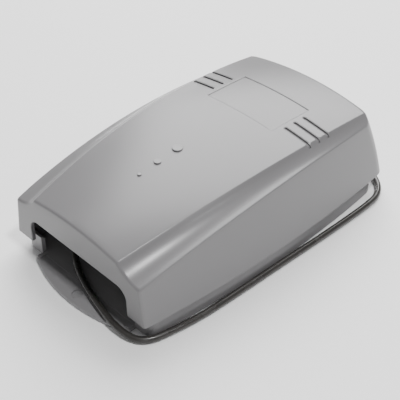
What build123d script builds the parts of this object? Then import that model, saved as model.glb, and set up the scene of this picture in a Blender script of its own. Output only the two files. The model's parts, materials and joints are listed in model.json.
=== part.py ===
from build123d import *
import math
import os

os.makedirs("parts", exist_ok=True)

# Wall battery unit, in millimetres.  It lies on its back: +Z points out of the wall,
# +Y points up the wall and the cable window is at the low end, -Y.

# ---- cover -------------------------------------------------------------------
cover_length = 211.0          # front face to the middle of the back edge
cover_front_half = 57.5       # half width of the bottom edge at the front face
cover_middle_half = 63.7      # half width of the bottom edge halfway along
cover_back_half = 58.0        # half width of the bottom edge at the back corners
cover_wall = 2.5
side_draft = 0.125            # sideways lean of the side walls, per mm of height
back_lean = 18.0              # how far the back face leans forward over its height
back_belly = 2.0              # how far the back face bulges from that straight lean
back_bow = 4.0                # bow of the back edge, seen from above
back_corner_radius = 11.0
shape_height = 54.0           # height above the bottom edge that the side walls are drawn to

crease_front_half = 36.5      # half width of the top face at the front
crease_back_half = 48.3       # half width of the top face at the back
crease_swell = 4.9
crease_front_height = 34.0    # height of the top face's edge above the bottom edge
crease_back_height = 46.1
crease_height_swell = 8.3
crown_front = 3.3             # rise of the top face in the middle
crown_back = 4.4
ridge_front_height = 25.9     # height of the ridge outside the flute
ridge_back_height = 39.5
ridge_swell = 9.1
flute_sag_front = 2.6         # hollow of the flute between crease and ridge
flute_sag_back = 0.9
crease_radius = 1.5

window_half = 42.8            # cable window in the front face
window_height = 17.4
window_radius = 7.5

label_half = 27.0             # shallow label field on the top face
label_start = 129.4
label_length = 33.2
label_depth = 0.5
groove_inner = 30.1           # inner end of each groove, from the middle
groove_reach = 20.3
groove_width = 2.4
groove_depth = 1.5
groove_first = 137.7
groove_pitch = 8.3
groove_count = 3
dot_places = ((48.9, 1.3), (62.8, 2.3), (78.4, 3.3))   # distance from the front, radius
dot_rise = 0.7

# ---- back plate ---------------------------------------------------------------
seat_height = 12.4            # the cover's bottom edge above the wall
floor_thickness = 2.5
base_wall = 2.8
base_inset = 1.6              # base wall inside the cover's outer edge
base_front = 4.25             # front of the base wall behind the cover's front face
base_back_inset = 9.0         # back wall in front of the cover's back edge
base_corner_radius = 8.0
rear_ledge = 2.2              # thickness of the ledge that carries the cover's back edge
upstand_height = 6.0
upstand_wall = 1.6
fit_gap = 0.3
front_lip = 1.5               # front wall above the cover's bottom edge
opening_half = 42.2           # half width of the gap in the base's front wall
tongue_middle = 2.0           # the gap and the tongue stand a little to the right

tongue_reach = 9.7            # tongue in front of the cover's front face
tongue_root_half = 42.2
tongue_side = 0.8             # straight part of the tongue's sides in front of the cover
tongue_corner_radius = 2.0
tongue_thickness = 2.3
tongue_rim = 0.5
tongue_rib_width = 2.6        # low rib along each end of the tongue
tongue_rib_height = 0.7
knockout_place = -2.85        # thin round web to drill out for the wall screw
knockout_radius = 3.2
knockout_depth = 1.1
knockout_ring = 0.5
knockout_ring_height = 0.25

keyhole_place = 191.6
keyhole_entry_radius = 4.5
keyhole_slot_radius = 2.1
keyhole_travel = 5.0
keyhole_dome_wall = 1.6
keyhole_dome_height = 8.0

# ---- cover screws ----------------------------------------------------------------
front_boss_x = 50.5
front_boss_place = 30.0
back_boss_x = 45.5
back_boss_place = 187.0
boss_radius = 4.3
boss_split = 10.0             # height where the base boss ends
boss_gap = 0.2
screw_radius = 1.45
screw_clearance = 0.05
screw_head_radius = 2.9
screw_head_height = 1.8
screw_head_depth = 3.2        # counterbore in the underside
screw_length = 19.0

# ---- battery pack: twenty cells ----------------------------------------------------
cell_radius = 7.25
cell_length = 50.5
cell_nub = 1.0
cell_columns = 5
cell_rows = 2
cell_layers = 2
cell_gap = 0.1
link_thickness = 0.3
link_width = 6.0
card_thickness = 0.8
sleeve_thickness = 0.4
sleeve_gap = 0.15
pack_start = 79.2
cradle_height = 5.0           # ribs under the pack
rib_thickness = 2.0
strap_width = 14.0
strap_thickness = 2.0
strap_place = 130.0
strap_foot = 9.0
strap_screw_radius = 1.4
foam_thickness = 2.0

# ---- charging board -------------------------------------------------------------------
board_left = -14.0
board_width = 59.0
board_start = 28.0
board_length = 48.0
board_thickness = 1.6
board_height = 8.0            # top of the posts
board_margin = 4.0
post_radius = 3.0
board_screw_radius = 1.3
board_screw_length = 7.0

terminal_x = -8.0
terminal_place = 58.0
terminal_pitch = 5.0
terminal_count = 3
terminal_depth = 8.0
terminal_height = 10.0
terminal_screw_radius = 1.85
terminal_screw_clearance = 0.08
terminal_screw_height = 3.2

fuse_x = 16.0
fuse_place = 33.5
fuse_length = 20.0
fuse_radius = 2.5
fuse_cap_length = 5.0
fuse_rise = 6.0               # fuse axis above the board
fuse_lift_room = 0.1

# ---- output lead ---------------------------------------------------------------------------
lead_radius = 2.1
lead_lift = 9.5               # height of the lead in its clamp
clamp_x = -31.0
clamp_place = 40.0
clamp_length = 8.0
clamp_width = 26.0
clamp_thickness = 4.6
clamp_screw_offset = 9.0
clamp_gap = 0.1
core_radius = 0.95
jacket_end = 50.0

relief_length = 24.0
relief_root_radius = 3.9
plug_width = 14.0
plug_length = 20.0
plug_height = 9.0
contact_length = 7.0

front_y = -(cover_length + tongue_reach) / 2 + tongue_reach
crease_length = cover_length - back_lean
board_top = board_height + board_thickness
pack_width = cell_columns * 2 * cell_radius + (cell_columns - 1) * cell_gap
cell_pitch = 2 * cell_radius + cell_gap
row_pitch = cell_length + 1.5
pack_stack = cell_rows * row_pitch
pack_tall = cell_layers * 2 * cell_radius + (cell_layers - 1) * cell_gap


def save(name, *pieces):
    shapes = []
    for piece in pieces:
        shapes.extend(piece.solids())
    export_step(Compound(children=shapes), f"parts/{name}.step")


def block(x, place, bottom, width, length, height):
    shape = Box(width, length, height, align=(Align.CENTER, Align.CENTER, Align.MIN))
    return Pos(x, front_y + place, bottom) * shape


def rod(x, place, bottom, radius, height):
    shape = Cylinder(radius, height, align=(Align.CENTER, Align.CENTER, Align.MIN))
    return Pos(x, front_y + place, bottom) * shape


def along_y(x, place, height, radius, length):
    shape = Cylinder(radius, length, rotation=(90, 0, 0))
    return Pos(x, front_y + place + length / 2, height) * shape


def along_x(x, place, height, radius, length):
    shape = Cylinder(radius, length, rotation=(0, 90, 0))
    return Pos(x, front_y + place, height) * shape


def rounded(shape, radius):
    return fillet(shape.edges().filter_by(Axis.Z), radius)


def tube(points, radius, radii):
    spots = [Vector(x, front_y + place, z) for x, place, z in points]
    path = FilletPolyline(*spots, radius=radii)
    start = Plane(origin=spots[0], z_dir=spots[1] - spots[0])
    return sweep(start * Circle(radius), path=path)


def route_radii(points):
    spots = [Vector(*point) for point in points]
    radii = []
    for before, here, after in zip(spots, spots[1:], spots[2:]):
        run_in = here - before
        run_out = after - here
        turn = math.radians(run_in.get_angle(run_out))
        shorter = min(run_in.length, run_out.length)
        radii.append(0.45 * shorter / math.tan(turn / 2))
    return radii


# ---- the cover's shape, from plan outlines and cross-sections -------------------------------
def swelling(front, back, swell, share):
    return front + (back - front) * share + swell * 4 * share * (1 - share)


def plan_face(height, inset, front_inset, back_inset, front_radius=0.0):
    lean = side_draft * height + inset
    share = height / shape_height
    belly = back_belly * 4 * share * (1 - share)
    back = front_y + cover_length - back_lean * share + belly - back_inset
    front = front_y + front_inset
    middle = front_y + cover_length / 2
    front_half = cover_front_half - lean
    middle_half = cover_middle_half - lean
    back_half = cover_back_half - lean
    edges = [
        Line((-front_half, front), (front_half, front)),
        ThreePointArc((front_half, front), (middle_half, middle), (back_half, back - back_bow)),
        ThreePointArc((back_half, back - back_bow), (0, back), (-back_half, back - back_bow)),
        ThreePointArc((-back_half, back - back_bow), (-middle_half, middle), (-front_half, front)),
    ]
    face = make_face(edges)
    corners = face.vertices().sort_by(Axis.Y)
    face = fillet(corners[2:], max(back_corner_radius - inset, 2))
    if front_radius:
        front_corners = face.vertices().sort_by(Axis.Y)[:2]
        face = fillet(front_corners, front_radius)
    return Pos(0, 0, seat_height + height) * face


def side_half(place, height):
    share = place / cover_length
    swell = cover_middle_half - (cover_front_half + cover_back_half) / 2
    return swelling(cover_front_half, cover_back_half, swell, share) - side_draft * height


def top_section(place, drop, pull):
    share = place / crease_length
    crease_x = swelling(crease_front_half, crease_back_half, crease_swell, share) - pull
    crease_z = swelling(crease_front_height, crease_back_height, crease_height_swell, share) - drop
    ridge_z = swelling(ridge_front_height, ridge_back_height, ridge_swell, share)
    ridge_x = side_half(place, ridge_z) + 0.4
    ridge_z = ridge_z - drop
    crown = crown_front + (crown_back - crown_front) * share
    sag = flute_sag_front + (flute_sag_back - flute_sag_front) * share
    chord = math.hypot(ridge_x - crease_x, crease_z - ridge_z)
    hollow_x = (crease_x + ridge_x) / 2 - sag * (crease_z - ridge_z) / chord
    hollow_z = (crease_z + ridge_z) / 2 - sag * (ridge_x - crease_x) / chord
    reach = cover_middle_half + 15
    low = -6.0
    edges = [
        Line((-reach, low), (reach, low)),
        Line((reach, low), (reach, ridge_z)),
        Line((reach, ridge_z), (ridge_x, ridge_z)),
        ThreePointArc((ridge_x, ridge_z), (hollow_x, hollow_z), (crease_x, crease_z)),
        ThreePointArc((crease_x, crease_z), (0, crease_z + crown), (-crease_x, crease_z)),
        ThreePointArc((-crease_x, crease_z), (-hollow_x, hollow_z), (-ridge_x, ridge_z)),
        Line((-ridge_x, ridge_z), (-reach, ridge_z)),
        Line((-reach, ridge_z), (-reach, low)),
    ]
    face = make_face(edges)
    creases = [v for v in face.vertices() if abs(abs(v.X) - crease_x) < 0.01]
    face = fillet(creases, crease_radius)
    return Plane(origin=(0, front_y + place, seat_height), x_dir=(1, 0, 0), z_dir=(0, -1, 0)) * face


def top_body(drop, pull):
    step = (cover_length + 8) / 6
    return loft([top_section(-3 + step * i, drop, pull) for i in range(7)])


def top_height(place, x):
    share = place / crease_length
    crease_x = swelling(crease_front_half, crease_back_half, crease_swell, share)
    crease_z = swelling(crease_front_height, crease_back_height, crease_height_swell, share)
    crown = crown_front + (crown_back - crown_front) * share
    return seat_height + crease_z + crown * (1 - (x / crease_x) ** 2)


def side_body(inset, front_inset, back_inset, start):
    heights = (start, shape_height / 2, shape_height)
    return loft([plan_face(h, inset, front_inset, back_inset) for h in heights])


outer_top = top_body(0, 0)
outer = side_body(0, 0, 0, 0) & outer_top
inner = side_body(cover_wall, cover_wall, cover_wall, -1) & top_body(cover_wall, 1.0)
cover = outer - inner

window_sketch = Rectangle(2 * window_half, 2 * window_height)
window_face = fillet(window_sketch.vertices(), window_radius)
window_plane = Plane(origin=(0, front_y - 2, seat_height), x_dir=(1, 0, 0), z_dir=(0, -1, 0))
window = extrude(window_plane * window_face, amount=-(cover_wall + 4))
cover -= window

label_block = block(0, label_start + label_length / 2, seat_height, 2 * label_half, label_length, 60)
cover -= label_block - top_body(label_depth, 0)
groove_floor = top_body(groove_depth, 0)
for row in range(groove_count):
    groove_place = groove_first + row * groove_pitch
    for side in (-1, 1):
        middle = side * (groove_inner + groove_reach / 2)
        groove = block(middle, groove_place, seat_height + 30, groove_reach, groove_width, 40)
        groove = rounded(groove, groove_width / 2 - 0.05)
        cover -= groove - groove_floor
for dot_place, dot_radius in dot_places:
    surface = top_height(dot_place, 0)
    cover += rod(0, dot_place, surface - 1.5, dot_radius, 1.5 + dot_rise)

boss_spots = []
for side in (-1, 1):
    boss_spots.append((side * front_boss_x, front_boss_place))
    boss_spots.append((side * back_boss_x, back_boss_place))
boss_room = top_body(0.8, 0.3)
screw_bottom = screw_head_depth
for boss_x, boss_place in boss_spots:
    start = boss_split + boss_gap
    boss = rod(boss_x, boss_place, start, boss_radius, 70) & boss_room
    pilot_depth = screw_bottom + screw_length + 1 - start
    boss -= rod(boss_x, boss_place, start - 1, screw_radius + screw_clearance, pilot_depth + 1)
    cover += boss
save("cover", cover)

# ---- back plate ---------------------------------------------------------------------------------
def base_ring(inset, front_inset, back_inset, wall, bottom, height, front_radius):
    outside = plan_face(0, inset, front_inset, back_inset, front_radius)
    inner_radius = max(front_radius - wall, 1)
    inside = plan_face(0, inset + wall, front_inset + wall, back_inset + wall, inner_radius)
    ring = outside - inside
    return Pos(0, 0, bottom - seat_height) * extrude(ring, amount=height)


base_floor_face = plan_face(0, base_inset, base_front, base_back_inset, base_corner_radius)
base = Pos(0, 0, -seat_height) * extrude(base_floor_face, amount=floor_thickness)
base = chamfer(base.edges().group_by(Axis.Z)[0], 0.8)
wall_height = seat_height - floor_thickness
base += base_ring(base_inset, base_front, base_back_inset, base_wall,
                  floor_thickness, wall_height, base_corner_radius)
ledge_reach = base_back_inset - base_inset + base_wall
base += base_ring(base_inset, base_front, base_inset, ledge_reach,
                  seat_height - rear_ledge, rear_ledge, base_corner_radius) - block(
    0, cover_length / 2 - base_back_inset - 10, 0, 300, cover_length, 60)
upstand_inset = cover_wall + fit_gap + side_draft * upstand_height
upstand_back = cover_wall + fit_gap + back_lean * upstand_height / shape_height
base += base_ring(upstand_inset, base_front, upstand_back, upstand_wall,
                  seat_height - 1, upstand_height + 1, base_corner_radius - 1)
base -= block(0, base_front + 3, seat_height + front_lip, 4 * cover_middle_half, 14, upstand_height)
base -= block(tongue_middle, base_front + 3, floor_thickness, 2 * opening_half, 14, seat_height + front_lip)

tongue_y = front_y + base_front + base_wall
tongue_left = tongue_middle - tongue_root_half
tongue_right = tongue_middle + tongue_root_half
tongue_front = front_y - tongue_side
tongue_face = make_face([
    Line((tongue_left, tongue_y), (tongue_right, tongue_y)),
    Line((tongue_right, tongue_y), (tongue_right, tongue_front)),
    ThreePointArc((tongue_right, tongue_front), (tongue_middle, front_y - tongue_reach),
                  (tongue_left, tongue_front)),
    Line((tongue_left, tongue_front), (tongue_left, tongue_y)),
])
front_corners = tongue_face.vertices().filter_by_position(Axis.Y, front_y - tongue_reach, front_y)
tongue_face = fillet(front_corners, tongue_corner_radius)
tongue = extrude(tongue_face, amount=tongue_thickness)
tongue = chamfer(tongue.edges().group_by(Axis.Z)[-1], tongue_rim)
base += tongue
rib_length = base_front + tongue_side
for side in (-1, 1):
    rib_x = tongue_middle + side * (tongue_root_half - tongue_rim - tongue_rib_width / 2)
    base += block(rib_x, rib_length / 2 - tongue_side / 2, 0,
                  tongue_rib_width, rib_length, tongue_thickness + tongue_rib_height)
ring_top = tongue_thickness + knockout_ring_height
base += rod(tongue_middle, knockout_place, 0, knockout_radius + knockout_ring, ring_top)
base -= rod(tongue_middle, knockout_place, tongue_thickness - knockout_depth, knockout_radius, 5)

for boss_x, boss_place in boss_spots:
    base += rod(boss_x, boss_place, 0, boss_radius, boss_split)
for boss_x, boss_place in boss_spots:
    base -= rod(boss_x, boss_place, -1, screw_head_radius + 0.3, screw_head_depth + 1)
    base -= rod(boss_x, boss_place, -1, screw_radius + 0.25, boss_split + 2)

dome_start = keyhole_place - keyhole_entry_radius - keyhole_dome_wall
dome_end = keyhole_place + keyhole_travel + keyhole_slot_radius + keyhole_dome_wall
dome_length = dome_end - dome_start
dome_width = 2 * (keyhole_entry_radius + keyhole_dome_wall)
dome_place = (dome_start + dome_end) / 2
dome = block(tongue_middle, dome_place, 0, dome_width, dome_length, keyhole_dome_height)
base += rounded(dome, 3.0)
room_width = dome_width - 2 * keyhole_dome_wall
room_length = dome_length - 2 * keyhole_dome_wall
room = block(tongue_middle, dome_place, floor_thickness, room_width, room_length,
             keyhole_dome_height - floor_thickness - keyhole_dome_wall)
base -= room
base -= rod(tongue_middle, keyhole_place, -1, keyhole_entry_radius, floor_thickness + 1.5)
base -= rod(tongue_middle, keyhole_place + keyhole_travel, -1, keyhole_slot_radius, floor_thickness + 1.5)
base -= block(tongue_middle, keyhole_place + keyhole_travel / 2, -1,
              2 * keyhole_slot_radius, keyhole_travel, floor_thickness + 1.5)

pack_end = pack_start + pack_stack + 2 * (card_thickness + link_thickness + sleeve_gap)
pack_half = pack_width / 2 + sleeve_gap + sleeve_thickness
rib_count = 3
for i in range(rib_count):
    rib_place = pack_start + 12 + i * (pack_end - pack_start - 24) / (rib_count - 1)
    base += block(0, rib_place, 1, 2 * pack_half + 8, rib_thickness, cradle_height - 1)
for side in (-1, 1):
    for fence_place in (pack_start + 12, pack_end - 12):
        base += block(side * (pack_half + 2.3), fence_place, 1, 3.4, 12, cradle_height + 9)
for fence_place, side in ((pack_start, -1), (pack_end, 1)):
    base += block(0, fence_place + side * 1.6, 1, 30, 1.8, cradle_height + 4)

strap_foot_x = pack_half + strap_thickness + strap_foot / 2 + 0.6
strap_boss_top = 12.0
for side in (-1, 1):
    base += rod(side * strap_foot_x, strap_place, 1, 3.4, strap_boss_top - 1)
for side in (-1, 1):
    pilot = rod(side * strap_foot_x, strap_place, strap_boss_top - 8, strap_screw_radius + 0.05, 9)
    base -= pilot

post_spots = []
for post_x in (board_left + board_margin, board_left + board_width - board_margin):
    for post_place in (board_start + board_margin, board_start + board_length - board_margin):
        post_spots.append((post_x, post_place))
for post_x, post_place in post_spots:
    base += rod(post_x, post_place, 1, post_radius, board_height - 1)
for post_x, post_place in post_spots:
    base -= rod(post_x, post_place, board_height - 6, board_screw_radius + 0.05, 7)

clamp_split = lead_lift - clamp_gap / 2
base += block(clamp_x, clamp_place, 1, clamp_width, clamp_length, clamp_split - clamp_gap / 2 - 1)
lead_room = along_y(clamp_x, clamp_place - 8, lead_lift, lead_radius + clamp_gap, 16)
base -= lead_room
for side in (-1, 1):
    base -= rod(clamp_x + side * clamp_screw_offset, clamp_place, 3.5, 1.35, 9)
save("back_plate", base)

# ---- cover screws ----------------------------------------------------------------------------------
def cross_screw(x, place, bottom, radius, length, head_radius, head_height, head_up):
    shank = rod(x, place, bottom, radius, length)
    if head_up:
        head = rod(x, place, bottom + length, head_radius, head_height)
        recess = bottom + length + head_height - 1.0
    else:
        head = rod(x, place, bottom - head_height, head_radius, head_height)
        recess = bottom - head_height
    screw = shank + head
    screw -= block(x, place, recess, 0.7, head_radius * 1.1, 1.0)
    screw -= block(x, place, recess, head_radius * 1.1, 0.7, 1.0)
    return screw


screws = []
for boss_x, boss_place in boss_spots:
    screws.append(cross_screw(boss_x, boss_place, screw_bottom, screw_radius, screw_length,
                                 screw_head_radius, screw_head_height, False))
save("cover_screws", *screws)

# ---- battery pack --------------------------------------------------------------------------------------
cells = []
cell_base = cradle_height + sleeve_thickness + sleeve_gap + cell_radius
first_x = -(cell_columns - 1) / 2 * cell_pitch
rows_start = pack_start + card_thickness + link_thickness + sleeve_gap + 0.5
for row in range(cell_rows):
    for layer in range(cell_layers):
        for column in range(cell_columns):
            x = first_x + column * cell_pitch
            z = cell_base + layer * cell_pitch
            start = rows_start + row * row_pitch
            up = (row + layer + column) % 2
            can_start = start + (0 if up else cell_nub)
            can = along_y(x, can_start, z, cell_radius, cell_length - cell_nub)
            nub_start = start + (cell_length - cell_nub if up else 0)
            nub = along_y(x, nub_start, z, 2.6, cell_nub)
            cells.append(can + nub)
save("battery_cells", *cells)

links = []
for face_place in (rows_start - link_thickness - 0.02, rows_start + 2 * row_pitch - 1.5 + 0.02):
    for column in range(cell_columns):
        x = first_x + column * cell_pitch
        links.append(block(x, face_place + link_thickness / 2, cell_base - 5,
                           link_width, link_thickness, cell_pitch + 10))
save("cell_links", *links)

cards = []
card_front = rows_start - link_thickness - 0.04 - card_thickness
card_back = rows_start + 2 * row_pitch - 1.5 + link_thickness + 0.04
middle_card = rows_start + row_pitch - 1.5 + 0.35
for place in (card_front, middle_card, card_back):
    card_sketch = Rectangle(pack_width, pack_tall)
    card_sketch = fillet(card_sketch.vertices(), cell_radius)
    card_middle = cell_base - cell_radius + pack_tall / 2
    card_plane = Plane(origin=(0, front_y + place, card_middle), x_dir=(1, 0, 0), z_dir=(0, -1, 0))
    cards.append(extrude(card_plane * card_sketch, amount=-card_thickness))
save("insulating_cards", *cards)

sleeve_start = card_front
sleeve_length = card_back + card_thickness - card_front
sleeve_bottom = cradle_height
sleeve_tall = pack_tall + 2 * (sleeve_gap + sleeve_thickness)
sleeve = rounded(block(0, 0, 0, 2 * pack_half, sleeve_tall, sleeve_length), 7.0)
sleeve_hole = block(0, 0, -1, 2 * (pack_half - sleeve_thickness), sleeve_tall - 2 * sleeve_thickness,
                    sleeve_length + 2)
sleeve -= rounded(sleeve_hole, 6.6)
sleeve = Pos(0, -front_y, 0) * sleeve
sleeve = Rot(-90, 0, 0) * sleeve
sleeve = Pos(0, front_y + sleeve_start, sleeve_bottom + sleeve_tall / 2) * sleeve
save("battery_sleeve", sleeve)

pack_top = sleeve_bottom + sleeve_tall
foam = block(0, strap_place, pack_top, 2 * pack_half - 18, strap_width - 2, foam_thickness)
save("foam_pad", rounded(foam, 2))

strap_top = pack_top + foam_thickness
strap = block(0, strap_place, strap_top, 2 * (pack_half + strap_thickness + 0.4), strap_width, strap_thickness)
for side in (-1, 1):
    leg_x = side * (pack_half + 0.4 + strap_thickness / 2)
    strap += block(leg_x, strap_place, strap_boss_top, strap_thickness, strap_width,
                   strap_top - strap_boss_top + 1)
    foot_x = side * (pack_half + 0.4 + strap_thickness / 2 + strap_foot / 2)
    strap += block(foot_x, strap_place, strap_boss_top, strap_foot, strap_width, strap_thickness)
for side in (-1, 1):
    strap -= rod(side * strap_foot_x, strap_place, strap_boss_top - 1, strap_screw_radius + 0.2, 5)
save("battery_strap", strap)
strap_screws = []
for side in (-1, 1):
    strap_screws.append(cross_screw(side * strap_foot_x, strap_place, strap_boss_top + strap_thickness - 8,
                                       strap_screw_radius, 8, 2.8, 1.8, True))
save("strap_screws", *strap_screws)

cutout_x = -2.6
cutout_place = pack_start + 14
cutout = rounded(block(cutout_x, cutout_place, pack_top, 5, 12, 2.6), 1)
save("thermal_cutout", cutout)

# ---- charging board ----------------------------------------------------------------------------------------
board_x = board_left + board_width / 2
board_place = board_start + board_length / 2
board = rounded(block(board_x, board_place, board_height, board_width, board_length, board_thickness), 1.5)
for post_x, post_place in post_spots:
    board -= rod(post_x, post_place, board_height - 1, board_screw_radius + 0.3, 5)
save("circuit_board", board)
board_screws = []
for post_x, post_place in post_spots:
    board_screws.append(cross_screw(post_x, post_place, board_top - board_screw_length,
                                       board_screw_radius, board_screw_length, 2.5, 1.6, True))
save("board_screws", *board_screws)

terminal_length = terminal_count * terminal_pitch + 0.2
terminal = block(terminal_x, terminal_place, board_top, terminal_depth, terminal_length, terminal_height)
terminal_back = block(terminal_x + terminal_depth / 2, terminal_place, board_top + terminal_height - 2.5,
                      2.4, terminal_length + 2, 5)
terminal -= terminal_back
terminal_screw_bottom = board_top + terminal_height - terminal_screw_height - 0.8
core_height = board_top + 3.2
for i in range(terminal_count):
    place = terminal_place + (i - (terminal_count - 1) / 2) * terminal_pitch
    well_x = terminal_x - 0.6
    well_radius = terminal_screw_radius + terminal_screw_clearance
    terminal -= rod(well_x, place, terminal_screw_bottom, well_radius, 10)
    mouth_x = terminal_x - terminal_depth / 2 + 2
    terminal -= block(mouth_x, place, board_top + 1.4, 4.2, 3.4, 3.6)
    screw = rod(well_x, place, terminal_screw_bottom, terminal_screw_radius, terminal_screw_height)
    screw -= block(well_x, place, terminal_screw_bottom + terminal_screw_height - 1, 4, 0.7, 2)
    save(f"terminal_screw_{i + 1}", screw)
save("terminal_block", terminal)

fuse_height = board_top + fuse_rise
fuse_room = fuse_radius + fuse_lift_room
clips = []
for side in (-1, 1):
    clip_x = fuse_x + side * (fuse_length / 2 - fuse_cap_length / 2)
    clip = block(clip_x, fuse_place, board_top, 4, 2 * fuse_room + 1.0, fuse_rise + 1.2)
    clip -= block(clip_x, fuse_place, board_top + 0.6, 5, 2 * fuse_room, 12)
    clips.append(clip)
save("fuse_clips", *clips)
glass_length = fuse_length - 2 * fuse_cap_length
glass = along_x(fuse_x, fuse_place, fuse_height, fuse_radius - 0.2, glass_length)
save("fuse_glass", glass)
caps = []
for side in (-1, 1):
    cap_x = fuse_x + side * (fuse_length - fuse_cap_length) / 2
    caps.append(along_x(cap_x, fuse_place, fuse_height, fuse_radius, fuse_cap_length))
save("fuse_caps", *caps)

relay = fillet(block(8.5, 51.0, board_top, 15.5, 19.0, 15.0).edges().group_by(Axis.Z)[-1], 0.8)
save("relay", relay)

cans = []
for x, place, radius, height in ((23.4, 46.0, 5.0, 16.0), (23.4, 58.0, 4.0, 12.0), (29.0, 37.2, 3.0, 8.0)):
    can = rod(x, place, board_top, radius, height)
    cans.append(fillet(can.edges().group_by(Axis.Z)[-1], 0.5))
save("capacitors", *cans)

sink_x = 39.0
sink_place = 51.0
sink = block(sink_x, sink_place, board_top, 10, 22, 24)
for fin in range(4):
    sink -= block(sink_x + 2.4, sink_place - 7.5 + fin * 5.0, board_top - 1, 8, 3.4, 40)
save("heat_sink", sink)
regulator = block(sink_x - 5 - 2.3, sink_place, board_top + 4, 4.6, 10, 15)
regulator -= block(sink_x - 5 - 4.0, sink_place, board_top + 13, 2.6, 12, 8)
for leg in (-1, 0, 1):
    regulator += block(sink_x - 5 - 2.3, sink_place + leg * 2.54, board_top, 0.6, 0.8, 5)
save("regulator", regulator)

ring = Torus(4.3, 1.9)
save("inductor", Pos(32.1, front_y + 69.2, board_top + 1.9) * ring)

chip = block(13.0, 68.5, board_top + 0.4, 10, 6.4, 3.2)
for pin in range(4):
    for side in (-1, 1):
        chip += block(13.0 + (pin - 1.5) * 2.54, 68.5 + side * 3.6, board_top, 0.6, 0.9, 2.2)
save("control_chip", chip)

resistors = []
for i in range(4):
    resistors.append(along_x(22.5, 66.5 + i * 2.6, board_top + 1.1, 1.1, 6.4))
save("resistors", *resistors)
diodes = []
for i in range(2):
    diodes.append(along_y(33.0 + i * 3.4, 28.6, board_top + 1.5, 1.5, 5.5))
save("power_diodes", *diodes)
lamps = []
for x in (-3.0, 1.5):
    lamp = rod(x, 31.0, board_top, 1.5, 3.4) + Pos(x, front_y + 31.0, board_top + 3.4) * Sphere(1.5)
    lamps.append(lamp)
save("indicator_lamps", *lamps)

header_x = -1.2
header_place = 69.5
header = block(header_x, header_place, board_top, 7.5, 5.8, 7.0)
header -= block(header_x, header_place, board_top + 1.2, 5.9, 4.2, 10)
save("battery_header", header)
plug_bottom = board_top + 1.4
inner_plug = block(header_x, header_place, plug_bottom, 5.7, 4.0, 9.6)
save("battery_plug", inner_plug)
battery_lead_top = plug_bottom + 9.6
leads = []
for x, end_place, end_height in ((header_x - 1.4, cutout_place - 6.0, pack_top + 1.3),
                                 (header_x + 1.4, sleeve_start, pack_top - 8.0)):
    points = [(x, header_place, battery_lead_top), (x, header_place, end_height), (x, end_place, end_height)]
    leads.append(tube(points, 0.85, [3.5]))
save("battery_leads", *leads)

# ---- output lead, its clamp and its cores ---------------------------------------------
saddle = block(clamp_x, clamp_place, clamp_split + clamp_gap / 2, clamp_width, clamp_length, clamp_thickness)
saddle = fillet(saddle.edges().filter_by(Axis.Y).group_by(Axis.Z)[-1], 1.5)
saddle -= lead_room
for side in (-1, 1):
    saddle -= rod(clamp_x + side * clamp_screw_offset, clamp_place, 0, 1.6, 30)
save("lead_clamp", saddle)
clamp_screws = []
saddle_top = clamp_split + clamp_gap / 2 + clamp_thickness
for side in (-1, 1):
    clamp_screws.append(cross_screw(clamp_x + side * clamp_screw_offset, clamp_place, saddle_top - 9.5,
                                       1.3, 9.5, 2.6, 1.6, True))
save("clamp_screws", *clamp_screws)

floor_level = lead_radius
lead_route = [
    (clamp_x, jacket_end, lead_lift), (clamp_x, 30.0, lead_lift), (-25.5, 18.0, 8.6),
    (-13.0, 8.6, 6.4), (4.0, 2.3, 5.0), (24.0, -2.7, 4.9), (38.0, -5.0, 4.2),
    (50.8, -3.3, floor_level), (58.0, 3.0, floor_level), (60.6, 14.5, floor_level),
    (62.9, 28.0, floor_level), (64.4, 46.0, floor_level), (64.9, 70.0, floor_level),
    (65.4, 100.0, floor_level), (66.2, 135.0, floor_level), (66.4, 162.0, floor_level),
    (66.0, 181.0, floor_level), (64.6, 193.5, floor_level), (56.5, 204.5, floor_level),
    (42.0, 211.5, floor_level), (14.0, 216.5, floor_level), (-18.0, 217.5, floor_level),
    (-44.0, 216.0, floor_level), (-62.0, 210.0, floor_level), (-72.0, 197.0, floor_level),
    (-75.5, 180.0, floor_level), (-76.0, 164.0, floor_level),
]
lead_radii = route_radii(lead_route)
lead = tube(lead_route, lead_radius, lead_radii)
save("output_lead", lead)

cores = []
core_ends = (terminal_place - terminal_pitch, terminal_place)
for side, end_place in zip((-1, 1), core_ends):
    start_x = clamp_x - side * 1.1
    bend_place = end_place + 0.8
    points = [(start_x, jacket_end, lead_lift), (start_x, bend_place, lead_lift),
              (terminal_x - terminal_depth / 2 - 5.0, end_place, core_height),
              (terminal_x - 1.5, end_place, core_height)]
    cores.append(tube(points, core_radius, [1.9, 1.9]))
save("lead_cores", *cores)

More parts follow.
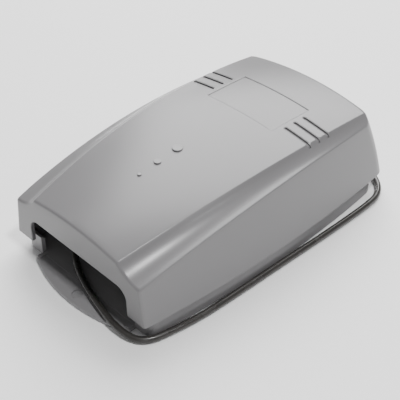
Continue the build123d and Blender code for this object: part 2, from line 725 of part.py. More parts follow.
# ---- plug on the far end of the output lead -------------------------------------------
end_x, end_place, end_height = lead_route[-1]
last_run = Vector(*lead_route[-1]) - Vector(*lead_route[-2])
plug_turn = math.degrees(math.atan2(last_run.Y, last_run.X))
plug_spot = Pos(end_x, front_y + end_place, 0) * Rot(0, 0, plug_turn)
relief = loft([
    Pos(0, 0, floor_level) * Rot(0, 90, 0) * Circle(lead_radius),
    Pos(relief_length, 0, relief_root_radius) * Rot(0, 90, 0) * Circle(relief_root_radius - 0.2),
])
save("plug_relief", plug_spot * relief)
plug_body = Pos(relief_length, 0, 0) * Box(
    plug_length, plug_width, plug_height, align=(Align.MIN, Align.CENTER, Align.MIN))
plug_body = fillet(plug_body.edges().filter_by(Axis.X), 1.6)
plug_body = fillet(plug_body.edges().group_by(Axis.X)[0], 1.0)
contacts = []
for side in (-1, 1):
    socket_x = relief_length + plug_length
    socket = Pos(socket_x - contact_length, side * 3.3, plug_height / 2 - 2.1) * Box(
        contact_length + 2, 4.2, 4.2, align=(Align.MIN, Align.CENTER, Align.MIN))
    plug_body -= socket
    contact = Pos(socket_x - contact_length, side * 3.3, plug_height / 2 - 1.5) * Box(
        contact_length - 1, 3.0, 3.0, align=(Align.MIN, Align.CENTER, Align.MIN))
    contact -= Pos(socket_x - contact_length + 1, side * 3.3, plug_height / 2 - 0.9) * Box(
        contact_length, 1.8, 1.8, align=(Align.MIN, Align.CENTER, Align.MIN))
    contacts.append(plug_spot * contact)
save("plug_body", plug_spot * plug_body)
save("plug_contacts", *contacts)

lead_path = FilletPolyline(*[Vector(*point) for point in lead_route], radius=lead_radii)
lead_length = sum(edge.length for edge in lead_path.edges())
print("lead radii", [round(radius, 1) for radius in lead_radii])
print("lead length", round(lead_length, 1),
      "volume ratio", round(lead.volume / (math.pi * lead_radius ** 2 * lead_length), 4))
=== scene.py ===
import bpy
import bmesh
import json
import math
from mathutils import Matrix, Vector


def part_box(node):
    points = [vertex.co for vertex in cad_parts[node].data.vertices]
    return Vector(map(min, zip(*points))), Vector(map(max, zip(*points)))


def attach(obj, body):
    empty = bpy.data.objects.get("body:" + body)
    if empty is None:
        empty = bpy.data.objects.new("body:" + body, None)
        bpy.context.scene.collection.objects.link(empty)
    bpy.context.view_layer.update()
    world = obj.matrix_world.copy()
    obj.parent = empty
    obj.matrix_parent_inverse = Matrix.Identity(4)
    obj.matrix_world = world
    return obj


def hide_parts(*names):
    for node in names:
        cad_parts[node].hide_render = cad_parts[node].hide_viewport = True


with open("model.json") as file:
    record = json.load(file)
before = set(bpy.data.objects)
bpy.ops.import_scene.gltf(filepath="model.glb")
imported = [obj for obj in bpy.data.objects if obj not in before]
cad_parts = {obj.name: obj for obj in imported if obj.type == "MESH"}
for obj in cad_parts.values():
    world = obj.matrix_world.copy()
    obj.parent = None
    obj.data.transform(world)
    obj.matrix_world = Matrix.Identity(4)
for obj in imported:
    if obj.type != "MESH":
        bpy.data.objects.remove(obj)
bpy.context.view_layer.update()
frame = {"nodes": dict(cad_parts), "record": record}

mm = 0.001
nodes = frame["nodes"]
print("frame loaded", len(nodes), "nodes")

# the cover's own box gives where its front face and bottom edge are
bossDrop = 2.2  # how far the screw bosses reach below the cover's bottom edge
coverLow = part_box("cover")[0]
frontY = coverLow.y
seatZ = coverLow.z + bossDrop * mm


# ---- helpers shared by every piece
def tidyMesh(obj, smoothAngle, mergeGap=0.00001):
    work = bmesh.new()
    work.from_mesh(obj.data)
    bmesh.ops.remove_doubles(work, verts=work.verts, dist=mergeGap)
    bmesh.ops.dissolve_degenerate(work, edges=work.edges, dist=mergeGap)
    bmesh.ops.recalc_face_normals(work, faces=work.faces)
    for face in work.faces:
        face.smooth = True
    work.to_mesh(obj.data)
    work.free()
    obj.data.set_sharp_from_angle(angle=math.radians(smoothAngle))


def applyModifiers(obj):
    deps = bpy.context.evaluated_depsgraph_get()
    baked = bpy.data.meshes.new_from_object(obj.evaluated_get(deps))
    obj.modifiers.clear()
    obj.data = baked


def cutWith(obj, cutter, operation="DIFFERENCE"):
    change = obj.modifiers.new("cut", "BOOLEAN")
    change.object = cutter
    change.operation = operation
    change.solver = "EXACT"
    bpy.context.view_layer.update()
    applyModifiers(obj)
    bpy.data.objects.remove(cutter)


def looseMesh(name, points, faces):
    mesh = bpy.data.meshes.new(name)
    mesh.from_pydata([tuple(p) for p in points], [], faces)
    obj = bpy.data.objects.new(name, mesh)
    bpy.context.scene.collection.objects.link(obj)
    work = bmesh.new()
    work.from_mesh(mesh)
    bmesh.ops.remove_doubles(work, verts=work.verts, dist=0.00001)
    bmesh.ops.recalc_face_normals(work, faces=work.faces)
    work.to_mesh(mesh)
    work.free()
    return obj


# ---- materials
def newMaterial(name):
    mat = bpy.data.materials.new(name)
    mat.use_nodes = True
    tree = mat.node_tree
    return mat, tree, tree.nodes["Principled BSDF"]


def addNoise(tree, scale, detail=4.0, roughness=0.55):
    coords = tree.nodes.new("ShaderNodeTexCoord")
    tex = tree.nodes.new("ShaderNodeTexNoise")
    tex.inputs["Scale"].default_value = scale
    tex.inputs["Detail"].default_value = detail
    tex.inputs["Roughness"].default_value = roughness
    tree.links.new(coords.outputs["Object"], tex.inputs["Vector"])
    return tex


def addRamp(tree, source, low, high, lowColour, highColour):
    ramp = tree.nodes.new("ShaderNodeValToRGB")
    ramp.color_ramp.elements[0].position = low
    ramp.color_ramp.elements[1].position = high
    ramp.color_ramp.elements[0].color = (*lowColour, 1)
    ramp.color_ramp.elements[1].color = (*highColour, 1)
    tree.links.new(source, ramp.inputs["Fac"])
    return ramp


def addBump(tree, shader, source, strength, distance, below=None):
    bump = tree.nodes.new("ShaderNodeBump")
    bump.inputs["Strength"].default_value = strength
    bump.inputs["Distance"].default_value = distance
    tree.links.new(source, bump.inputs["Height"])
    if below:
        tree.links.new(below.outputs["Normal"], bump.inputs["Normal"])
    tree.links.new(bump.outputs["Normal"], shader.inputs["Normal"])
    return bump


def scaled(colour, factor):
    return tuple(c * factor for c in colour)


dustLight = 3  # how much lighter a speck of dust is than the plastic under it


def moulded(name, colour, roughness, grain=0.12, grainScale=2600, dust=0.0, variation=0.05):
    mat, tree, shader = newMaterial(name)
    cloud = addNoise(tree, 28, 3)
    tone = addRamp(tree, cloud.outputs["Fac"], 0.3, 0.7,
                   scaled(colour, 1 - variation), scaled(colour, 1 + variation))
    colourOut = tone.outputs["Color"]
    if dust:
        specks = tree.nodes.new("ShaderNodeTexVoronoi")
        specks.inputs["Scale"].default_value = 260
        specks.inputs["Randomness"].default_value = 1.0
        coords = tree.nodes.new("ShaderNodeTexCoord")
        tree.links.new(coords.outputs["Object"], specks.inputs["Vector"])
        size = addRamp(tree, specks.outputs["Distance"], 0.05, 0.09, (1, 1, 1), (0, 0, 0))
        pick = tree.nodes.new("ShaderNodeMath")
        pick.operation = "GREATER_THAN"
        pick.inputs[1].default_value = 1 - dust
        tree.links.new(specks.outputs["Color"], pick.inputs[0])
        both = tree.nodes.new("ShaderNodeMath")
        both.operation = "MULTIPLY"
        tree.links.new(size.outputs["Color"], both.inputs[0])
        tree.links.new(pick.outputs["Value"], both.inputs[1])
        mix = tree.nodes.new("ShaderNodeMix")
        mix.data_type = "RGBA"
        tree.links.new(both.outputs["Value"], mix.inputs["Factor"])
        tree.links.new(colourOut, mix.inputs["A"])
        mix.inputs["B"].default_value = (*scaled(colour, dustLight), 1)
        colourOut = mix.outputs["Result"]
    tree.links.new(colourOut, shader.inputs["Base Color"])
    smear = addNoise(tree, 60, 5)
    gloss = addRamp(tree, smear.outputs["Fac"], 0.3, 0.75,
                    (roughness - variation,) * 3, (roughness + variation,) * 3)
    tree.links.new(gloss.outputs["Color"], shader.inputs["Roughness"])
    fine = addNoise(tree, grainScale, 2)
    addBump(tree, shader, fine.outputs["Fac"], grain, 0.0001)
    return mat


def metal(name, colour, roughness, streak=(1, 1, 1)):
    mat, tree, shader = newMaterial(name)
    coords = tree.nodes.new("ShaderNodeTexCoord")
    stretch = tree.nodes.new("ShaderNodeMapping")
    stretch.inputs["Scale"].default_value = streak
    tex = tree.nodes.new("ShaderNodeTexNoise")
    tex.inputs["Scale"].default_value = 900
    tex.inputs["Detail"].default_value = 3
    tree.links.new(coords.outputs["Object"], stretch.inputs["Vector"])
    tree.links.new(stretch.outputs["Vector"], tex.inputs["Vector"])
    tone = addRamp(tree, tex.outputs["Fac"], 0.3, 0.7, scaled(colour, 0.82), scaled(colour, 1.08))
    tree.links.new(tone.outputs["Color"], shader.inputs["Base Color"])
    gloss = addRamp(tree, tex.outputs["Fac"], 0.3, 0.7, (roughness - 0.06,) * 3, (roughness + 0.08,) * 3)
    tree.links.new(gloss.outputs["Color"], shader.inputs["Roughness"])
    shader.inputs["Metallic"].default_value = 1.0
    addBump(tree, shader, tex.outputs["Fac"], 0.05, 0.0001)
    return mat


housingFinish = {"colour": (0.155, 0.152, 0.156), "roughness": 0.3, "dust": 0.03, "variation": 0.015}
housingGrey = moulded("housing_grey", housingFinish["colour"], housingFinish["roughness"],
                      dust=housingFinish["dust"], variation=housingFinish["variation"])
# the tray is the same grey plastic as the cover, painted 1.45 times lighter: painted fill light on its
# shaded base, tongue and inside
trayFinishWithPaintedFill = {"lighter": 1.45, "roughness": 0.36, "dust": 0.02, "variation": 0.02}
trayColourWithPaintedFill = scaled(housingFinish["colour"], trayFinishWithPaintedFill["lighter"])
trayGreyWithPaintedFill = moulded("tray_grey_painted_fill", trayColourWithPaintedFill, trayFinishWithPaintedFill["roughness"],
                   dust=trayFinishWithPaintedFill["dust"], variation=trayFinishWithPaintedFill["variation"])
zincSteel = metal("zinc_steel", (0.62, 0.62, 0.6), 0.3)
cellCan = metal("cell_can", (0.6, 0.6, 0.6), 0.3, (1, 0.05, 1))
nickelStrip = metal("nickel_strip", (0.62, 0.6, 0.56), 0.35, (1, 1, 0.05))
fishPaper = moulded("fish_paper", (0.5, 0.42, 0.26), 0.8, 0.3, 900, variation=0.1)
sleeveFilm = moulded("sleeve_film", (0.02, 0.06, 0.2), 0.25, 0.05, 300)
foamBlack = moulded("foam", (0.03, 0.03, 0.03), 0.9, 0.6, 700)
blackNylon = moulded("black_nylon", (0.025, 0.025, 0.026), 0.42, 0.15, 1500)
darkEpoxy = moulded("dark_epoxy", (0.035, 0.035, 0.037), 0.55, 0.2, 2200)
boardGreen = moulded("board_green", (0.01, 0.11, 0.04), 0.3, 0.1, 350, variation=0.18)
terminalGreen = moulded("terminal_green", (0.02, 0.25, 0.08), 0.45, 0.1, 1800)
tinnedBrass = metal("tinned_brass", (0.66, 0.6, 0.46), 0.32)
capNickel = metal("cap_nickel", (0.7, 0.69, 0.66), 0.22)
relayCase = moulded("relay_case", (0.02, 0.06, 0.28), 0.3, 0.05, 1200)
capacitorSleeve = moulded("capacitor_sleeve", (0.02, 0.02, 0.04), 0.28, 0.05, 700)
sinkAluminium = metal("sink_aluminium", (0.5, 0.5, 0.51), 0.38, (1, 1, 0.08))
copperWinding = metal("copper_winding", (0.62, 0.25, 0.1), 0.35)
resistorBody = moulded("resistor_body", (0.6, 0.46, 0.28), 0.4, 0.1, 1500)
lampGreen = moulded("lamp_green", (0.05, 0.4, 0.08), 0.25, 0.03, 900)
connectorWhite = moulded("connector_white", (0.78, 0.76, 0.7), 0.45, 0.1, 1500)
coreInsulation = moulded("core_insulation", (0.42, 0.02, 0.02), 0.4, 0.05, 1500)
leadJacket = moulded("lead_jacket", (0.03, 0.028, 0.026), 0.27, 0.25, 1400, variation=0.12)


def clearGlass():
    mat, tree, shader = newMaterial("fuse_glass")
    shader.inputs["Transmission Weight"].default_value = 0.9
    shader.inputs["IOR"].default_value = 1.5
    haze = addNoise(tree, 300, 2)
    gloss = addRamp(tree, haze.outputs["Fac"], 0.4, 0.7, (0.03,) * 3, (0.09,) * 3)
    tree.links.new(gloss.outputs["Color"], shader.inputs["Roughness"])
    shader.inputs["Base Color"].default_value = (0.9, 0.95, 0.94, 1)
    return mat


finishes = {
    # pieces listed as housing_grey get the lighter tray grey, which carries the painted fill light
    "housing_grey": trayGreyWithPaintedFill, "zinc_steel": zincSteel, "cell_can": cellCan, "nickel_strip": nickelStrip,
    "fish_paper": fishPaper, "sleeve_film": sleeveFilm, "foam": foamBlack, "black_nylon": blackNylon,
    "dark_epoxy": darkEpoxy, "board_green": boardGreen, "terminal_green": terminalGreen,
    "tinned_brass": tinnedBrass, "fuse_glass": clearGlass(), "cap_nickel": capNickel,
    "relay_case": relayCase, "capacitor_sleeve": capacitorSleeve, "sink_aluminium": sinkAluminium,
    "copper_winding": copperWinding, "resistor_body": resistorBody, "lamp_green": lampGreen,
    "connector_white": connectorWhite, "core_insulation": coreInsulation, "lead_jacket": leadJacket,
}
for part in frame["record"]["subparts"]:
    obj = nodes[part["node"]]
    obj.data.materials.clear()
    obj.data.materials.append(finishes[part["material_slot"]])
print("materials on every carried-over piece")

# ---- camera
cameraFacts = {"place": (343.1, -334.2, 394.7), "azimuth": 46.105, "elevation": 38.596, "lens": 88.3}


def placeCamera(facts):
    turn = math.radians(facts["azimuth"])
    tilt = math.radians(facts["elevation"])
    look = Vector((-math.sin(turn) * math.cos(tilt), math.cos(turn) * math.cos(tilt), -math.sin(tilt)))
    camera = bpy.data.objects.new("camera", bpy.data.cameras.new("camera"))
    bpy.context.scene.collection.objects.link(camera)
    camera.location = Vector(facts["place"]) * mm
    camera.rotation_mode = "QUATERNION"
    camera.rotation_quaternion = look.to_track_quat("-Z", "Y")
    camera.data.lens = facts["lens"]
    camera.data.sensor_width = 36
    bpy.context.scene.camera = camera


placeCamera(cameraFacts)

# ---- output lead: the same route as the solid one, as one smooth line
leadFacts = {
    "radius": 2.1,
    "length": 0.498,
    # sideways, distance behind the cover's front face, height above the wall
    "route": [
        (-31.0, 50.0, 9.5), (-31.0, 30.0, 9.5), (-25.5, 18.0, 8.6), (-13.0, 8.6, 6.4), (4.0, 2.3, 5.0),
        (24.0, -2.7, 4.9), (38.0, -5.0, 4.2), (50.8, -3.3, 2.1), (58.0, 3.0, 2.1), (60.6, 14.5, 2.1),
        (62.9, 28.0, 2.1), (64.4, 46.0, 2.1), (64.9, 70.0, 2.1), (65.4, 100.0, 2.1), (66.2, 135.0, 2.1),
        (66.4, 162.0, 2.1), (66.0, 181.0, 2.1), (64.6, 193.5, 2.1), (56.5, 204.5, 2.1), (42.0, 211.5, 2.1),
        (14.0, 216.5, 2.1), (-18.0, 217.5, 2.1), (-44.0, 216.0, 2.1), (-62.0, 210.0, 2.1),
        (-72.0, 197.0, 2.1), (-75.5, 180.0, 2.1), (-76.0, 164.0, 2.1)],
}


def makeLead(facts):
    curve = bpy.data.curves.new("output_lead_line", "CURVE")
    curve.dimensions = "3D"
    spline = curve.splines.new("NURBS")
    spline.points.add(len(facts["route"]) - 1)
    for point, (x, place, height) in zip(spline.points, facts["route"]):
        point.co = (x * mm, frontY + place * mm, height * mm, 1)
    spline.order_u = 3
    spline.use_endpoint_u = True
    spline.resolution_u = 16
    curve.bevel_depth = facts["radius"] * mm
    curve.bevel_resolution = 8
    curve.use_fill_caps = True
    curve.materials.append(leadJacket)
    lead = bpy.data.objects.new("output_lead_cable", curve)
    bpy.context.scene.collection.objects.link(lead)
    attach(lead, "housing")
    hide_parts("output_lead")
    x, place, height = facts["route"][0]
    return lead


makeLead(leadFacts)
print("camera and output lead placed")

# ---- cover: crowned top, a flute down each side, leaning back face
coverFacts = {
    "length": 211.0, "frontHalf": 57.5, "middleHalf": 63.7, "backHalf": 58.0, "wall": 2.5, "draft": 0.125,
    "lean": 18.0, "belly": 2.0, "bow": 4.0, "shapeHeight": 54.0,
    "creaseHalf": (36.5, 48.3, 4.9), "creaseHeight": (34.0, 46.1, 8.3), "crown": (3.3, 4.4),
    "ridgeHeight": (25.9, 39.5, 9.1), "fluteSag": (2.6, 0.9), "creaseSoft": 0.9,
    "ridgeOut": 0.4, "backCorner": 11.0,
    "roundFront": 1.6, "roundRidge": 0.9, "roundBack": 2.4, "roundInside": 0.4,
}


def swelling(facts3, share):
    front, back, swell = facts3
    return front + (back - front) * share + swell * 4 * share * (1 - share)


def sideHalf(f, place, height):
    swell = f["middleHalf"] - (f["frontHalf"] + f["backHalf"]) / 2
    return swelling((f["frontHalf"], f["backHalf"], swell), place / f["length"]) - f["draft"] * height


def topHeight(f, x, place):
    share = place / (f["length"] - f["lean"])
    across = abs(x)
    creaseX = swelling(f["creaseHalf"], share)
    creaseZ = swelling(f["creaseHeight"], share)
    crown = f["crown"][0] + (f["crown"][1] - f["crown"][0]) * share
    ridgeZ = swelling(f["ridgeHeight"], share)
    ridgeX = sideHalf(f, place, ridgeZ) + f["ridgeOut"]
    sag = f["fluteSag"][0] + (f["fluteSag"][1] - f["fluteSag"][0]) * share
    top = creaseZ + crown * (1 - (across / creaseX) ** 2)
    chordX, chordZ = ridgeX - creaseX, creaseZ - ridgeZ
    chord = math.hypot(chordX, chordZ)
    radius = chord * chord / (8 * sag) + sag / 2
    centreX = (creaseX + ridgeX) / 2 + (radius - sag) * chordZ / chord
    centreZ = (creaseZ + ridgeZ) / 2 + (radius - sag) * chordX / chord
    reach = max(-0.998 * radius, min(across, ridgeX) - centreX)
    flute = centreZ - math.sqrt(radius * radius - reach * reach)
    if across - centreX < -0.998 * radius:
        flute = top + 10
    soft = f["creaseSoft"]
    near = max(soft - abs(top - flute), 0) / soft
    return min(top, flute) - near * near * soft / 4


def coverOutline(f, height, inset, counts):
    # right half of the plan outline at one height: row ends from front to back,
    # each with its outward direction
    frontCount, sideCount, backCount = counts
    share = height / f["shapeHeight"]
    back = f["length"] - f["lean"] * share + f["belly"] * 4 * share * (1 - share) - inset
    rightFront = Vector((sideHalf(f, inset, height) - inset, inset))
    rightBack = Vector((f["backHalf"] - f["draft"] * height - inset, back - f["bow"]))
    frontSlope = Vector((sideHalf(f, inset + 5, height) - sideHalf(f, inset, height), 5)).normalized()
    backSlope = Vector((f["backHalf"] - sideHalf(f, f["length"] - 5, 0), 5)).normalized()
    alongBack = Vector((-1, 2 * f["bow"] / rightBack.x)).normalized()
    frontRadius = max(f["roundFront"] - inset, f["roundInside"])
    frontArc = cornerArc(rightFront, Vector((1, 0)), frontSlope, frontRadius, frontCount)
    backArc = cornerArc(rightBack, backSlope, alongBack, max(f["backCorner"] - inset, 2), backCount)
    ends = list(frontArc)
    firstPlace, lastPlace = frontArc[-1][0].y, backArc[0][0].y
    frontMiss = frontArc[-1][0].x - (sideHalf(f, firstPlace, height) - inset)
    backMiss = backArc[0][0].x - (sideHalf(f, lastPlace, height) - inset)
    for i in range(1, sideCount):
        share = i / sideCount
        place = firstPlace + (lastPlace - firstPlace) * share
        reach = sideHalf(f, place, height) - inset + frontMiss * (1 - share) ** 4 + backMiss * share ** 4
        slope = (sideHalf(f, place + 1, height) - sideHalf(f, place - 1, height)) / 2
        ends.append((Vector((reach, place)), Vector((1, -slope)).normalized()))
    return ends + backArc, back


def cornerArc(corner, before, after, radius, count):
    # a rounded plan corner between two straight directions, as count + 1 points with outward directions
    turn = before.angle(after)
    reach = radius * math.tan(turn / 2)
    start, end = corner - before * reach, corner + after * reach
    centre = corner + (after - before).normalized() * (radius / math.cos(turn / 2))
    points = []
    for i in range(count + 1):
        angle = turn * i / count
        outward = (start - centre).normalized()
        spin = math.copysign(1, before.x * after.y - before.y * after.x)
        cosine, sine = math.cos(angle), math.sin(angle) * spin
        outward = Vector((outward.x * cosine - outward.y * sine, outward.x * sine + outward.y * cosine))
        points.append((centre + outward * radius, outward))
    return points


def acrossRow(creaseX, reach, columns):
    # sideways places along one row of the top, closest together at the crease
    crownCols, fluteCols = columns
    crease = min(creaseX, reach)
    xs = [crease * (1 - (1 - i / crownCols) ** 1.6) for i in range(crownCols + 1)]
    return xs + [crease + (reach - crease) * (i / fluteCols) ** 1.3 for i in range(1, fluteCols + 1)]


def coverSkin(f, inset, drop, counts, columns, wallSteps, roundSteps):
    # right half of one skin of the cover; returns points, faces and the loop of its bottom edge
    lastRow = sum(counts)
    lastCol = sum(columns)
    inner = inset > 0

    def surface(x, place):
        return topHeight(f, x, place) - drop

    def edgePoint(key, height):
        kind, value = key
        ends, back = coverOutline(f, height, inset, counts)
        if kind == "row":
            return ends[value]
        if kind == "front":
            return Vector((value * ends[0][0].x, inset)), Vector((0, -1))
        end = ends[lastRow][0]
        bow = back - end.y
        place = end.y + bow * (1 - value * value)
        return Vector((value * end.x, place)), Vector((2 * bow * value / end.x, 1)).normalized()

    def edgeHeight(key):
        height = 40.0  # a first guess, which the steps below close in on
        for _ in range(8):
            spot, outward = edgePoint(key, height)
            height = surface(spot.x, spot.y)
        return height

    def edgeRound(key, spot):
        if inner:
            return f["roundInside"]
        if key[0] == "front":
            return f["roundFront"]
        if key[0] == "back":
            return f["roundBack"]
        if key[1] <= counts[0]:
            return f["roundFront"]
        fromFront = min(1, spot.y / 12)
        ridge = f["roundFront"] + (f["roundRidge"] - f["roundFront"]) * fromFront
        behind = max(0, min(1, (key[1] - counts[0] - counts[1] + 6) / (counts[2] + 6)))
        return ridge + (f["roundBack"] - ridge) * behind

    share = 1 / (f["length"] - f["lean"])
    frontEnd = edgePoint(("row", 0), edgeHeight(("row", 0)))[0]
    backEnd = edgePoint(("row", lastRow), edgeHeight(("row", lastRow)))[0]
    frontXs = acrossRow(swelling(f["creaseHalf"], 0), frontEnd.x, columns)
    backXs = acrossRow(swelling(f["creaseHalf"], backEnd.y * share), backEnd.x, columns)
    keys = [("front", x / frontEnd.x) for x in frontXs[:-1]]
    keys += [("row", k) for k in range(lastRow + 1)]
    keys += [("back", x / backEnd.x) for x in reversed(backXs[:-1])]

    points, faces, strips, tops = [], [], [], {}
    for key in keys:
        height = edgeHeight(key)
        spot, outward = edgePoint(key, height)
        soft = edgeRound(key, spot)
        innerSpot = spot - outward * soft
        corner = Vector((spot.x, spot.y, height))
        under = edgePoint(key, height - soft)[0]
        wallTop = Vector((under.x, under.y, height - soft))
        topEdge = Vector((innerSpot.x, innerSpot.y, surface(innerSpot.x, innerSpot.y)))
        strip = []
        for i in range(wallSteps):
            level = wallTop.z * i / wallSteps
            flat = edgePoint(key, level)[0]
            strip.append(Vector((flat.x, flat.y, level)))
        for i in range(roundSteps + 1):
            t = i / roundSteps
            strip.append(wallTop * (1 - t) ** 2 + corner * 2 * t * (1 - t) + topEdge * t * t)
        first = len(points)
        points += strip
        strips.append(list(range(first, first + len(strip))))
        tops[key] = strips[-1][-1]
    for left, right in zip(strips, strips[1:]):
        for i in range(len(left) - 1):
            faces.append((left[i], right[i], right[i + 1], left[i + 1]))

    grid = [[None] * (lastCol + 1) for row in range(lastRow + 1)]
    for column in range(lastCol):
        grid[0][column] = tops[keys[column]]
        grid[lastRow][column] = tops[keys[len(keys) - 1 - column]]
    backRise = points[grid[lastRow][0]].y - points[tops[("row", lastRow)]].y
    bendFrom = counts[0] + counts[1] * 0.6
    for row in range(lastRow + 1):
        end = points[tops[("row", row)]]
        grid[row][lastCol] = tops[("row", row)]
        if row in (0, lastRow):
            continue
        bend = max(0, (row - bendFrom) / (lastRow - bendFrom)) ** 1.5 * backRise
        xs = acrossRow(swelling(f["creaseHalf"], end.y * share), end.x, columns)
        for column in range(lastCol):
            x = xs[column]
            place = end.y + bend * (1 - (x / end.x) ** 2)
            grid[row][column] = len(points)
            points.append(Vector((x, place, surface(x, place))))
    for row in range(lastRow):
        for column in range(lastCol):
            faces.append((grid[row][column], grid[row][column + 1],
                          grid[row + 1][column + 1], grid[row + 1][column]))
    return points, faces, [strip[0] for strip in strips]


def toFrame(point):
    return Vector((point[0] * mm, frontY + point[1] * mm, seatZ + point[2] * mm))


def coverShell(f):
    counts, columns = (2, 60, 10), (18, 12)
    outer = coverSkin(f, 0, 0, counts, columns, 8, 5)
    inner = coverSkin(f, f["wall"], f["wall"], counts, columns, 8, 5)
    points = outer[0] + inner[0]
    shift = len(outer[0])
    faces = outer[1] + [tuple(i + shift for i in reversed(face)) for face in inner[1]]
    outerRim, innerRim = outer[2], [i + shift for i in inner[2]]
    for i in range(len(outerRim) - 1):
        faces.append((outerRim[i + 1], outerRim[i], innerRim[i], innerRim[i + 1]))
    count = len(points)
    points = points + [Vector((-p.x, p.y, p.z)) for p in points]
    faces = faces + [tuple(i + count for i in reversed(face)) for face in faces]
    return [toFrame(p) for p in points], faces


def gridCutter(f, spots, depth, lip, name):
    # a cutter whose floor follows the top at a depth, with a wide shallow lip;
    # spots is a grid of (x, place)
    rows, cols = len(spots), len(spots[0])
    above = 6  # the cutter stands this far over the top
    lipReach = 5 * lip  # half of it is cut: the lip meets the top midway
    loop = [(0, j) for j in range(cols)] + [(i, cols - 1) for i in range(1, rows)]
    loop += [(rows - 1, j) for j in range(cols - 2, -1, -1)] + [(i, 0) for i in range(rows - 2, 0, -1)]
    points, faces = [], []

    def put(x, place, lift):
        points.append(toFrame((x, place, topHeight(f, x, place) + lift)))
        return len(points) - 1

    floor = [[put(x, place, -depth) for x, place in row] for row in spots]
    roof = [[put(x, place, above) for x, place in row] for row in spots]
    for i in range(rows - 1):
        for j in range(cols - 1):
            faces.append((floor[i][j], floor[i][j + 1], floor[i + 1][j + 1], floor[i + 1][j]))
            faces.append((roof[i][j], roof[i + 1][j], roof[i + 1][j + 1], roof[i][j + 1]))
    flat = [Vector(spots[i][j]) for i, j in loop]
    turnSum = sum(a.x * b.y - a.y * b.x for a, b in zip(flat, flat[1:] + flat[:1]))
    outwards = []
    for n in range(len(flat)):
        run = flat[(n + 1) % len(flat)] - flat[n - 1]
        outward = Vector((run.y, -run.x)).normalized()
        outwards.append(outward if turnSum > 0 else -outward)
    rings = [[floor[i][j] for i, j in loop]]
    for offset, lift in ((0.0, -lip), (lipReach, lip), (lipReach, above)):
        ring = []
        for here, outward in zip(flat, outwards):
            side = here + outward * offset
            base = topHeight(f, side.x, side.y)
            points.append(toFrame((side.x, side.y, base + lift)))
            ring.append(len(points) - 1)
        rings.append(ring)
    rings.append([roof[i][j] for i, j in loop])
    for low, high in zip(rings, rings[1:]):
        for n in range(len(loop)):
            m = (n + 1) % len(loop)
            faces.append((low[n], low[m], high[m], high[n]))
    return looseMesh(name, points, faces)


reliefFacts = {
    "labelHalf": 27.0, "labelStart": 129.4, "labelLength": 33.2, "labelDepth": 0.5, "labelLip": 0.24,
    "grooveInner": 30.1, "grooveReach": 20.3, "grooveHalf": 0.9, "grooveDepth": 1.2,
    "grooveFirst": 137.7, "groovePitch": 8.3, "grooveCount": 3, "lip": 0.24,
    "dots": ((48.9, 1.3), (62.8, 2.3), (78.4, 3.3)), "dotRise": 0.7,
    "windowHalf": 42.8, "windowHeight": 17.4, "windowRadius": 7.5, "windowLip": 0.45,
}


def labelCutter(f, r):
    xs = [-r["labelHalf"] + 2 * r["labelHalf"] * i / 18 for i in range(19)]
    places = [r["labelStart"] + r["labelLength"] * j / 8 for j in range(9)]
    spots = [[(x, place) for x in xs] for place in places]
    return gridCutter(f, spots, r["labelDepth"], r["labelLip"], "label_cut")


def grooveCutter(f, r, side, index):
    middle = r["grooveFirst"] + index * r["groovePitch"]
    half, reach = r["grooveHalf"], r["grooveReach"]
    alongs = [half * (1 - math.cos(math.pi / 2 * (i + 1) / 6)) for i in range(6)]
    alongs += [half + (reach - half) * i / 16 for i in range(1, 17)]
    spots = []
    for along in alongs:
        width = half if along >= half else math.sqrt(half * half - (half - along) ** 2)
        x = side * (r["grooveInner"] + along)
        spots.append([(x, middle + width * j / 2) for j in (-2, -1, 0, 1, 2)])
    return gridCutter(f, spots, r["grooveDepth"], r["lip"], "groove_cut")


def windowCutter(f, r):
    half, height, radius, lip = r["windowHalf"], r["windowHeight"], r["windowRadius"], r["windowLip"]
    rings = []
    points, faces = [], []
    for place, grow in ((-1.0, 1.0 + lip), (lip, 0.0), (f["wall"] + 3, 0.0)):
        outline = [(half + grow, -4.0)]
        for i in range(13):
            angle = math.pi / 2 * i / 12
            outline.append((half - radius + (radius + grow) * math.cos(angle),
                            height - radius + (radius + grow) * math.sin(angle)))
        outline += [(-x, z) for x, z in reversed(outline)]
        ring = []
        for x, z in outline:
            points.append(toFrame((x, place, z)))
            ring.append(len(points) - 1)
        rings.append(ring)
    for low, high in zip(rings, rings[1:]):
        for n in range(len(low)):
            m = (n + 1) % len(low)
            faces.append((low[n], low[m], high[m], high[n]))
    faces.append(tuple(rings[0]))
    faces.append(tuple(reversed(rings[-1])))
    return looseMesh("window_cut", points, faces)


def dotAdder(f, r, place, radius):
    surface = topHeight(f, 0, place)
    profile = [(0, -1.2), (radius, -1.2), (radius, r["dotRise"] - 0.3), (radius - 0.1, r["dotRise"] - 0.09),
               (radius - 0.32, r["dotRise"]), (0, r["dotRise"])]
    segments = 40
    points, faces, rings = [], [], []
    for distance, lift in profile:
        ring = []
        for n in range(segments):
            angle = 2 * math.pi * n / segments
            x, along = distance * math.cos(angle), place + distance * math.sin(angle)
            points.append(toFrame((x, along, surface + lift)))
            ring.append(len(points) - 1)
        rings.append(ring)
    for low, high in zip(rings, rings[1:]):
        for n in range(segments):
            m = (n + 1) % segments
            faces.append((low[n], low[m], high[m], high[n]))
    return looseMesh("dot", points, faces)


def tubePost(x, place, radius, bore, low, high, segments=32):
    # a hollow boss hanging inside the cover
    points, faces, rings = [], [], []
    for distance, level in ((radius, high), (radius, low), (bore, low), (bore, high)):
        ring = []
        for n in range(segments):
            angle = 2 * math.pi * n / segments
            across, along = x + distance * math.cos(angle), place + distance * math.sin(angle)
            points.append(toFrame((across, along, level)))
            ring.append(len(points) - 1)
        rings.append(ring)
    for low, high in zip(rings, rings[1:] + rings[:1]):
        for n in range(segments):
            m = (n + 1) % segments
            faces.append((low[n], low[m], high[m], high[n]))
    return looseMesh("boss", points, faces)


bossFacts = {"spots": ((50.5, 30.0), (45.5, 187.0)), "radius": 4.3, "bore": 1.5, "sunk": 1.2}


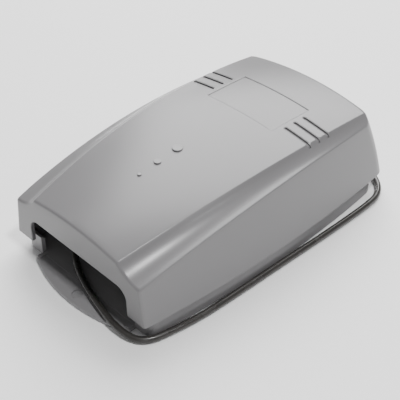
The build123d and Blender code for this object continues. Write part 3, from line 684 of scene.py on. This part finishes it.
def makeCover(f, r, b):
    points, faces = coverShell(f)
    cover = looseMesh("moulded_cover", points, faces)
    for side in (-1, 1):
        for index in range(r["grooveCount"]):
            cutWith(cover, grooveCutter(f, r, side, index))
    cutWith(cover, labelCutter(f, r))
    cutWith(cover, windowCutter(f, r))
    for place, radius in r["dots"]:
        cutWith(cover, dotAdder(f, r, place, radius), "UNION")
    for side in (-1, 1):
        for x, place in b["spots"]:
            over = [topHeight(f, x + reach, place) for reach in (-b["radius"], b["radius"], 0)]
            ceiling = min(over) - b["sunk"]
            cutWith(cover, tubePost(side * x, place, b["radius"], b["bore"], -bossDrop, ceiling), "UNION")
    tidyMesh(cover, 17)
    cover.data.materials.clear()
    cover.data.materials.append(housingGrey)
    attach(cover, "cover")
    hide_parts("cover")
    return cover


makeCover(coverFacts, reliefFacts, bossFacts)
print("cover built")

# ---- floor, light and background
stageFacts = {
    "floorSize": 6.0, "floorDrop": 0.0004, "floorColour": (0.95, 0.95, 0.95),
    "worldColour": (1.0, 1.0, 1.0), "worldStrength": 0.3,
}


def makeStage(f):
    half, level = f["floorSize"] / 2, -f["floorDrop"]
    mesh = bpy.data.meshes.new("floor")
    corners = [(-half, -half, level), (half, -half, level), (half, half, level), (-half, half, level)]
    mesh.from_pydata(corners, [], [(0, 1, 2, 3)])
    floor = bpy.data.objects.new("floor", mesh)
    bpy.context.scene.collection.objects.link(floor)
    mat, tree, shader = newMaterial("floor_card")
    shader.inputs["Base Color"].default_value = (*f["floorColour"], 1)
    shader.inputs["Roughness"].default_value = 0.9
    floor.data.materials.append(mat)
    world = bpy.data.worlds.new("studio")
    world.use_nodes = True
    world.node_tree.nodes["Background"].inputs["Color"].default_value = (*f["worldColour"], 1)
    world.node_tree.nodes["Background"].inputs["Strength"].default_value = f["worldStrength"]
    bpy.context.scene.world = world


# each lamp's place, what it points at, its two sides in metres and its watts
lampFacts = {
    "back_left_key": ((-0.62, 0.8, 1.1), (0, 0, 0.02), (1.2, 1.2), 42),
    "back_left_low": ((-1.2, 0.7, 0.3), (0, 0, 0.04), (0.5, 0.25), 4),
    "overhead": ((0.4, -0.08, 1.0), (0, 0, 0.04), (0.12, 0.12), 8),
    "right_front": ((0.8, -0.7, 0.4), (0, 0, 0.04), (0.2, 0.4), 1.0),
    "right_line": ((0.75, 0.2, 0.7), (0.05, 0, 0.04), (0.05, 0.05), 0.6),
}


def addLamp(name, place, aim, size, power):
    data = bpy.data.lights.new(name, "AREA")
    data.shape = "RECTANGLE"
    data.size, data.size_y = size
    data.energy = power
    lamp = bpy.data.objects.new(name, data)
    bpy.context.scene.collection.objects.link(lamp)
    lamp.location = Vector(place)
    lamp.rotation_mode = "QUATERNION"
    lamp.rotation_quaternion = (Vector(aim) - Vector(place)).to_track_quat("-Z", "Y")


makeStage(stageFacts)
for lampName, lampSetting in lampFacts.items():
    addLamp(lampName, *lampSetting)
print("stage and lights set")
